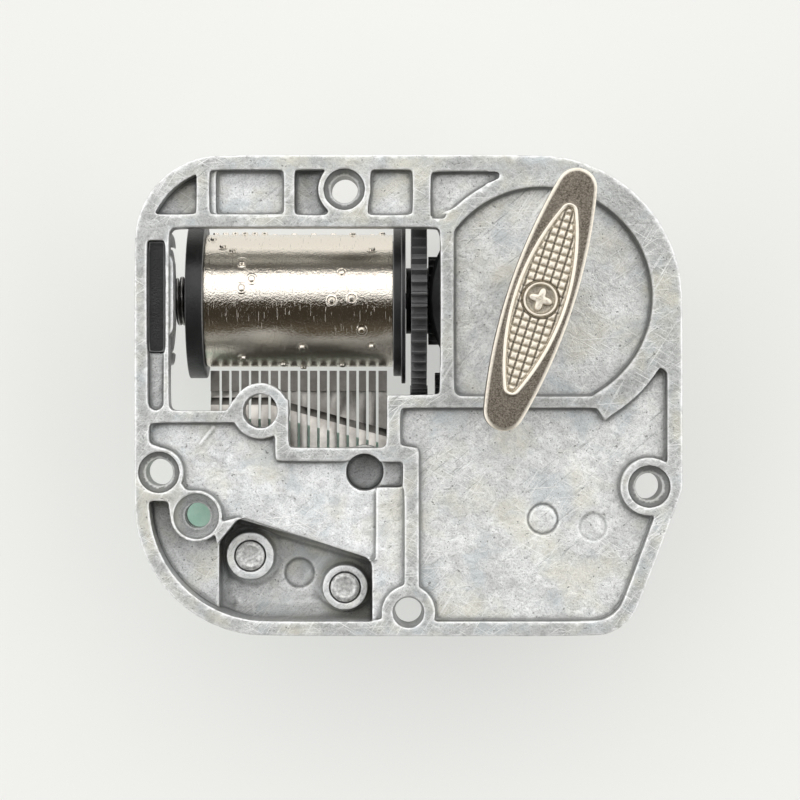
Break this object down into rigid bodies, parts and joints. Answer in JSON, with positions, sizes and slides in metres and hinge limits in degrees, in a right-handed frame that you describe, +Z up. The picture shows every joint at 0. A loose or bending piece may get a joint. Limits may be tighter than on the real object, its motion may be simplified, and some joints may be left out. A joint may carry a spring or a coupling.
{
  "type": "cylinder music box movement",
  "caption": "Spring-driven music box movement: die-cast bedplate with a pinned cylinder, tuned comb, fly governor and winding key.",
  "frame": {"origin": "under the middle of the bedplate, in the plane of the spring housing's far face", "axes": "+X along the music cylinder from its left bearing to its gear, +Y from the comb towards the cylinder, +Z up through the bedplate towards the winding key"},
  "size_m": [0.05, 0.044, 0.0292],
  "materials": {
    "die_cast_zinc": "as-cast grey zinc alloy, slightly mottled, with fine scratches and brighter edges",
    "nickel_plate": "polished nickel plate, faintly brushed around the axis",
    "antique_key": "antique nickel over bronze, darker in the recess and worn bright along the edges",
    "steel": "satin steel",
    "comb_steel": "ground hardened steel, grey-brown",
    "green_lacquer": "mint green lacquer, slightly glossy",
    "black_plastic": "satin black moulded acetal",
    "grey_plastic": "satin dark grey moulded acetal",
    "brass": "plain sheet brass"
  },
  "bodies": {
    "movement": {"bedplate": "die_cast_zinc", "left_bearing_bush": "black_plastic", "cylinder_end_spring": "steel", "comb": "comb_steel", "comb_base": "green_lacquer", "comb_screw_left": "steel", "comb_screw_right": "steel", "spring_housing": "die_cast_zinc", "spring_housing_cover": "steel", "mainspring": "comb_steel", "housing_screw_upper": "steel", "housing_screw_lower": "steel", "governor_frame": "black_plastic", "governor_cap": "black_plastic", "governor_screw": "steel"},
    "music_cylinder": {"cylinder_drum": "nickel_plate", "cylinder_left_cap": "black_plastic", "cylinder_right_flange": "black_plastic", "cylinder_gear": "black_plastic", "cylinder_shaft": "steel"},
    "drive": {"drive_wheel": "grey_plastic", "clutch_spring": "steel"},
    "key": {"winding_key": "antique_key", "key_stem": "antique_key", "winding_arbor": "steel"},
    "governor_counter": {"governor_wheel": "grey_plastic", "governor_shaft": "steel"},
    "fly": {"governor_worm": "grey_plastic", "fly_spindle": "steel", "fly_wings": "brass"}
  },
  "joints": [
    {"name": "cylinder_turn", "type": "hinge", "parent": "movement", "child": "music_cylinder", "pos_m": [0, 0.00895, 0.0112], "axis": [1, 0, 0], "continuous": true},
    {"name": "drive_wheel_turn", "type": "hinge", "parent": "movement", "child": "drive", "pos_m": [0.0122, 0.00895, 0.016], "axis": [0, 0, 1], "continuous": true},
    {"name": "governor_wheel_turn", "type": "hinge", "parent": "movement", "child": "governor_counter", "pos_m": [0.003, -0.00101, 0.009], "axis": [1, 0, 0], "continuous": true},
    {"name": "fly_turn", "type": "hinge", "parent": "movement", "child": "fly", "pos_m": [0.003, -0.00516, 0.007], "axis": [0, 0, 1], "continuous": true},
    {"name": "key_turn", "type": "hinge", "parent": "movement", "child": "key", "pos_m": [0.0122, 0.00895, 0.026], "axis": [0, 0, 1], "range_deg": [-1530, 0]}
  ],
  "couplings": [
    {"joint": "drive_wheel_turn", "follows": "cylinder_turn", "ratio": 0.40741},
    {"joint": "governor_wheel_turn", "follows": "cylinder_turn", "ratio": -4.8},
    {"joint": "fly_turn", "follows": "cylinder_turn", "ratio": -96}
  ]
}
